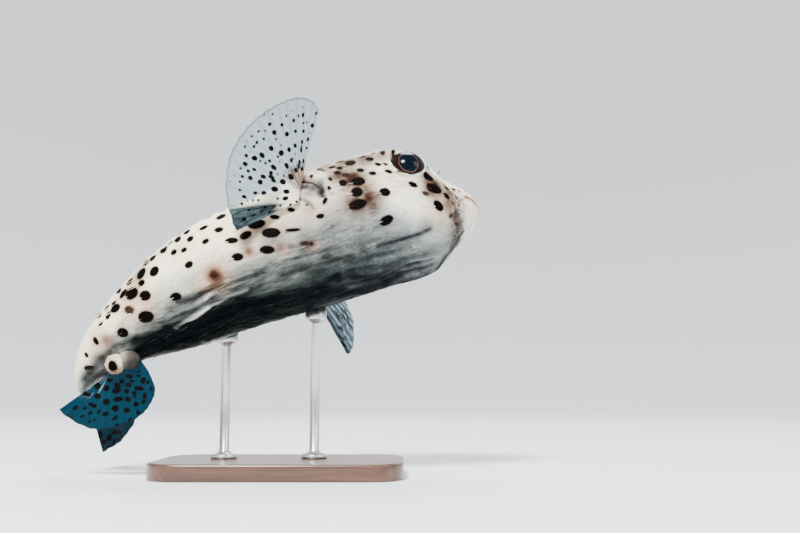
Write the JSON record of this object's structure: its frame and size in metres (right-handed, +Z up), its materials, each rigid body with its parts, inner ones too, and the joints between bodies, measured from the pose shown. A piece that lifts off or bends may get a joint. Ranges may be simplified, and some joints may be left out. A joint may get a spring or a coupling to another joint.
{
  "type": "spot-fin porcupinefish display model",
  "caption": "Life-size porcupinefish, not inflated, banked and climbing with its tail curled round, on a flat base with two short rods.",
  "frame": {"origin": "middle of the stand's foot, on the surface that it stands on", "axes": "+Z up, +X the way the fish heads, seen level, +Y away from the side that is turned up and out"},
  "size_m": [0.3441, 0.2241, 0.3039],
  "materials": {
    "skin": "satin painted skin, cream white with near-black spots, greyer below",
    "lip_skin": "smooth cream lips",
    "eye": "polished dark eye with a thin pale ring",
    "fin": "thin, slightly see-through fin membrane with dark spots",
    "stand_wood": "dark stained and satin varnished",
    "stand_steel": "brushed"
  },
  "bodies": {
    "root": {"head": "skin", "upper_lip": "lip_skin", "lower_lip": "lip_skin", "eye_right": "eye", "eye_left": "eye", "trunk": "skin", "tail": "skin", "tail_root": "skin", "pectoral_fin_right": "fin", "pectoral_fin_left": "fin", "dorsal_fin": "fin", "anal_fin": "fin", "caudal_fin": "fin", "stand_base": "stand_wood", "stand_rod_front": "stand_steel", "stand_rod_back": "stand_steel"}
  },
  "joints": []
}
